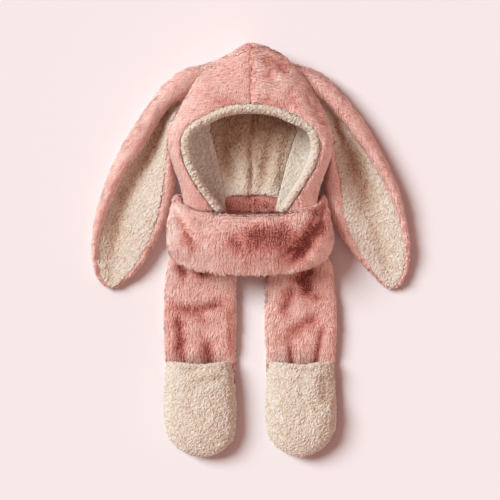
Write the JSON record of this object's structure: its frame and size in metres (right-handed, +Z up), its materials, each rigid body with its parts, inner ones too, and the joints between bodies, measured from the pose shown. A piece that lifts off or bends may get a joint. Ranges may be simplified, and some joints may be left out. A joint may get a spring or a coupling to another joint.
{
  "type": "plush animal hood scarf with lop ears and hand pockets",
  "caption": "Plush hood with long lop ears, a neck cowl and two scarf tails that end in hand pockets, lying on its back.",
  "frame": {"origin": "on the table, in the middle of the piece's outline", "axes": "+Z up from the table, +Y from the pockets towards the crown of the hood, +X to the wearer's left, which is the right in the picture"},
  "size_m": [0.4774, 0.6206, 0.0855],
  "materials": {
    "pink_plush": "soft dusty pink plush pile",
    "cream_sherpa": "cream curly sherpa pile"
  },
  "bodies": {
    "root": {"hood_panel_left": "pink_plush", "hood_panel_right": "pink_plush", "lining_left": "cream_sherpa", "lining_right": "cream_sherpa", "lining_back": "cream_sherpa", "face_trim": "cream_sherpa", "ear_left_outer": "pink_plush", "ear_left_inner": "cream_sherpa", "ear_right_outer": "pink_plush", "ear_right_inner": "cream_sherpa", "neck_cowl": "pink_plush", "tail_left": "pink_plush", "tail_lining_left": "cream_sherpa", "pocket_left": "cream_sherpa", "tail_right": "pink_plush", "tail_lining_right": "cream_sherpa", "pocket_right": "cream_sherpa"}
  },
  "joints": []
}
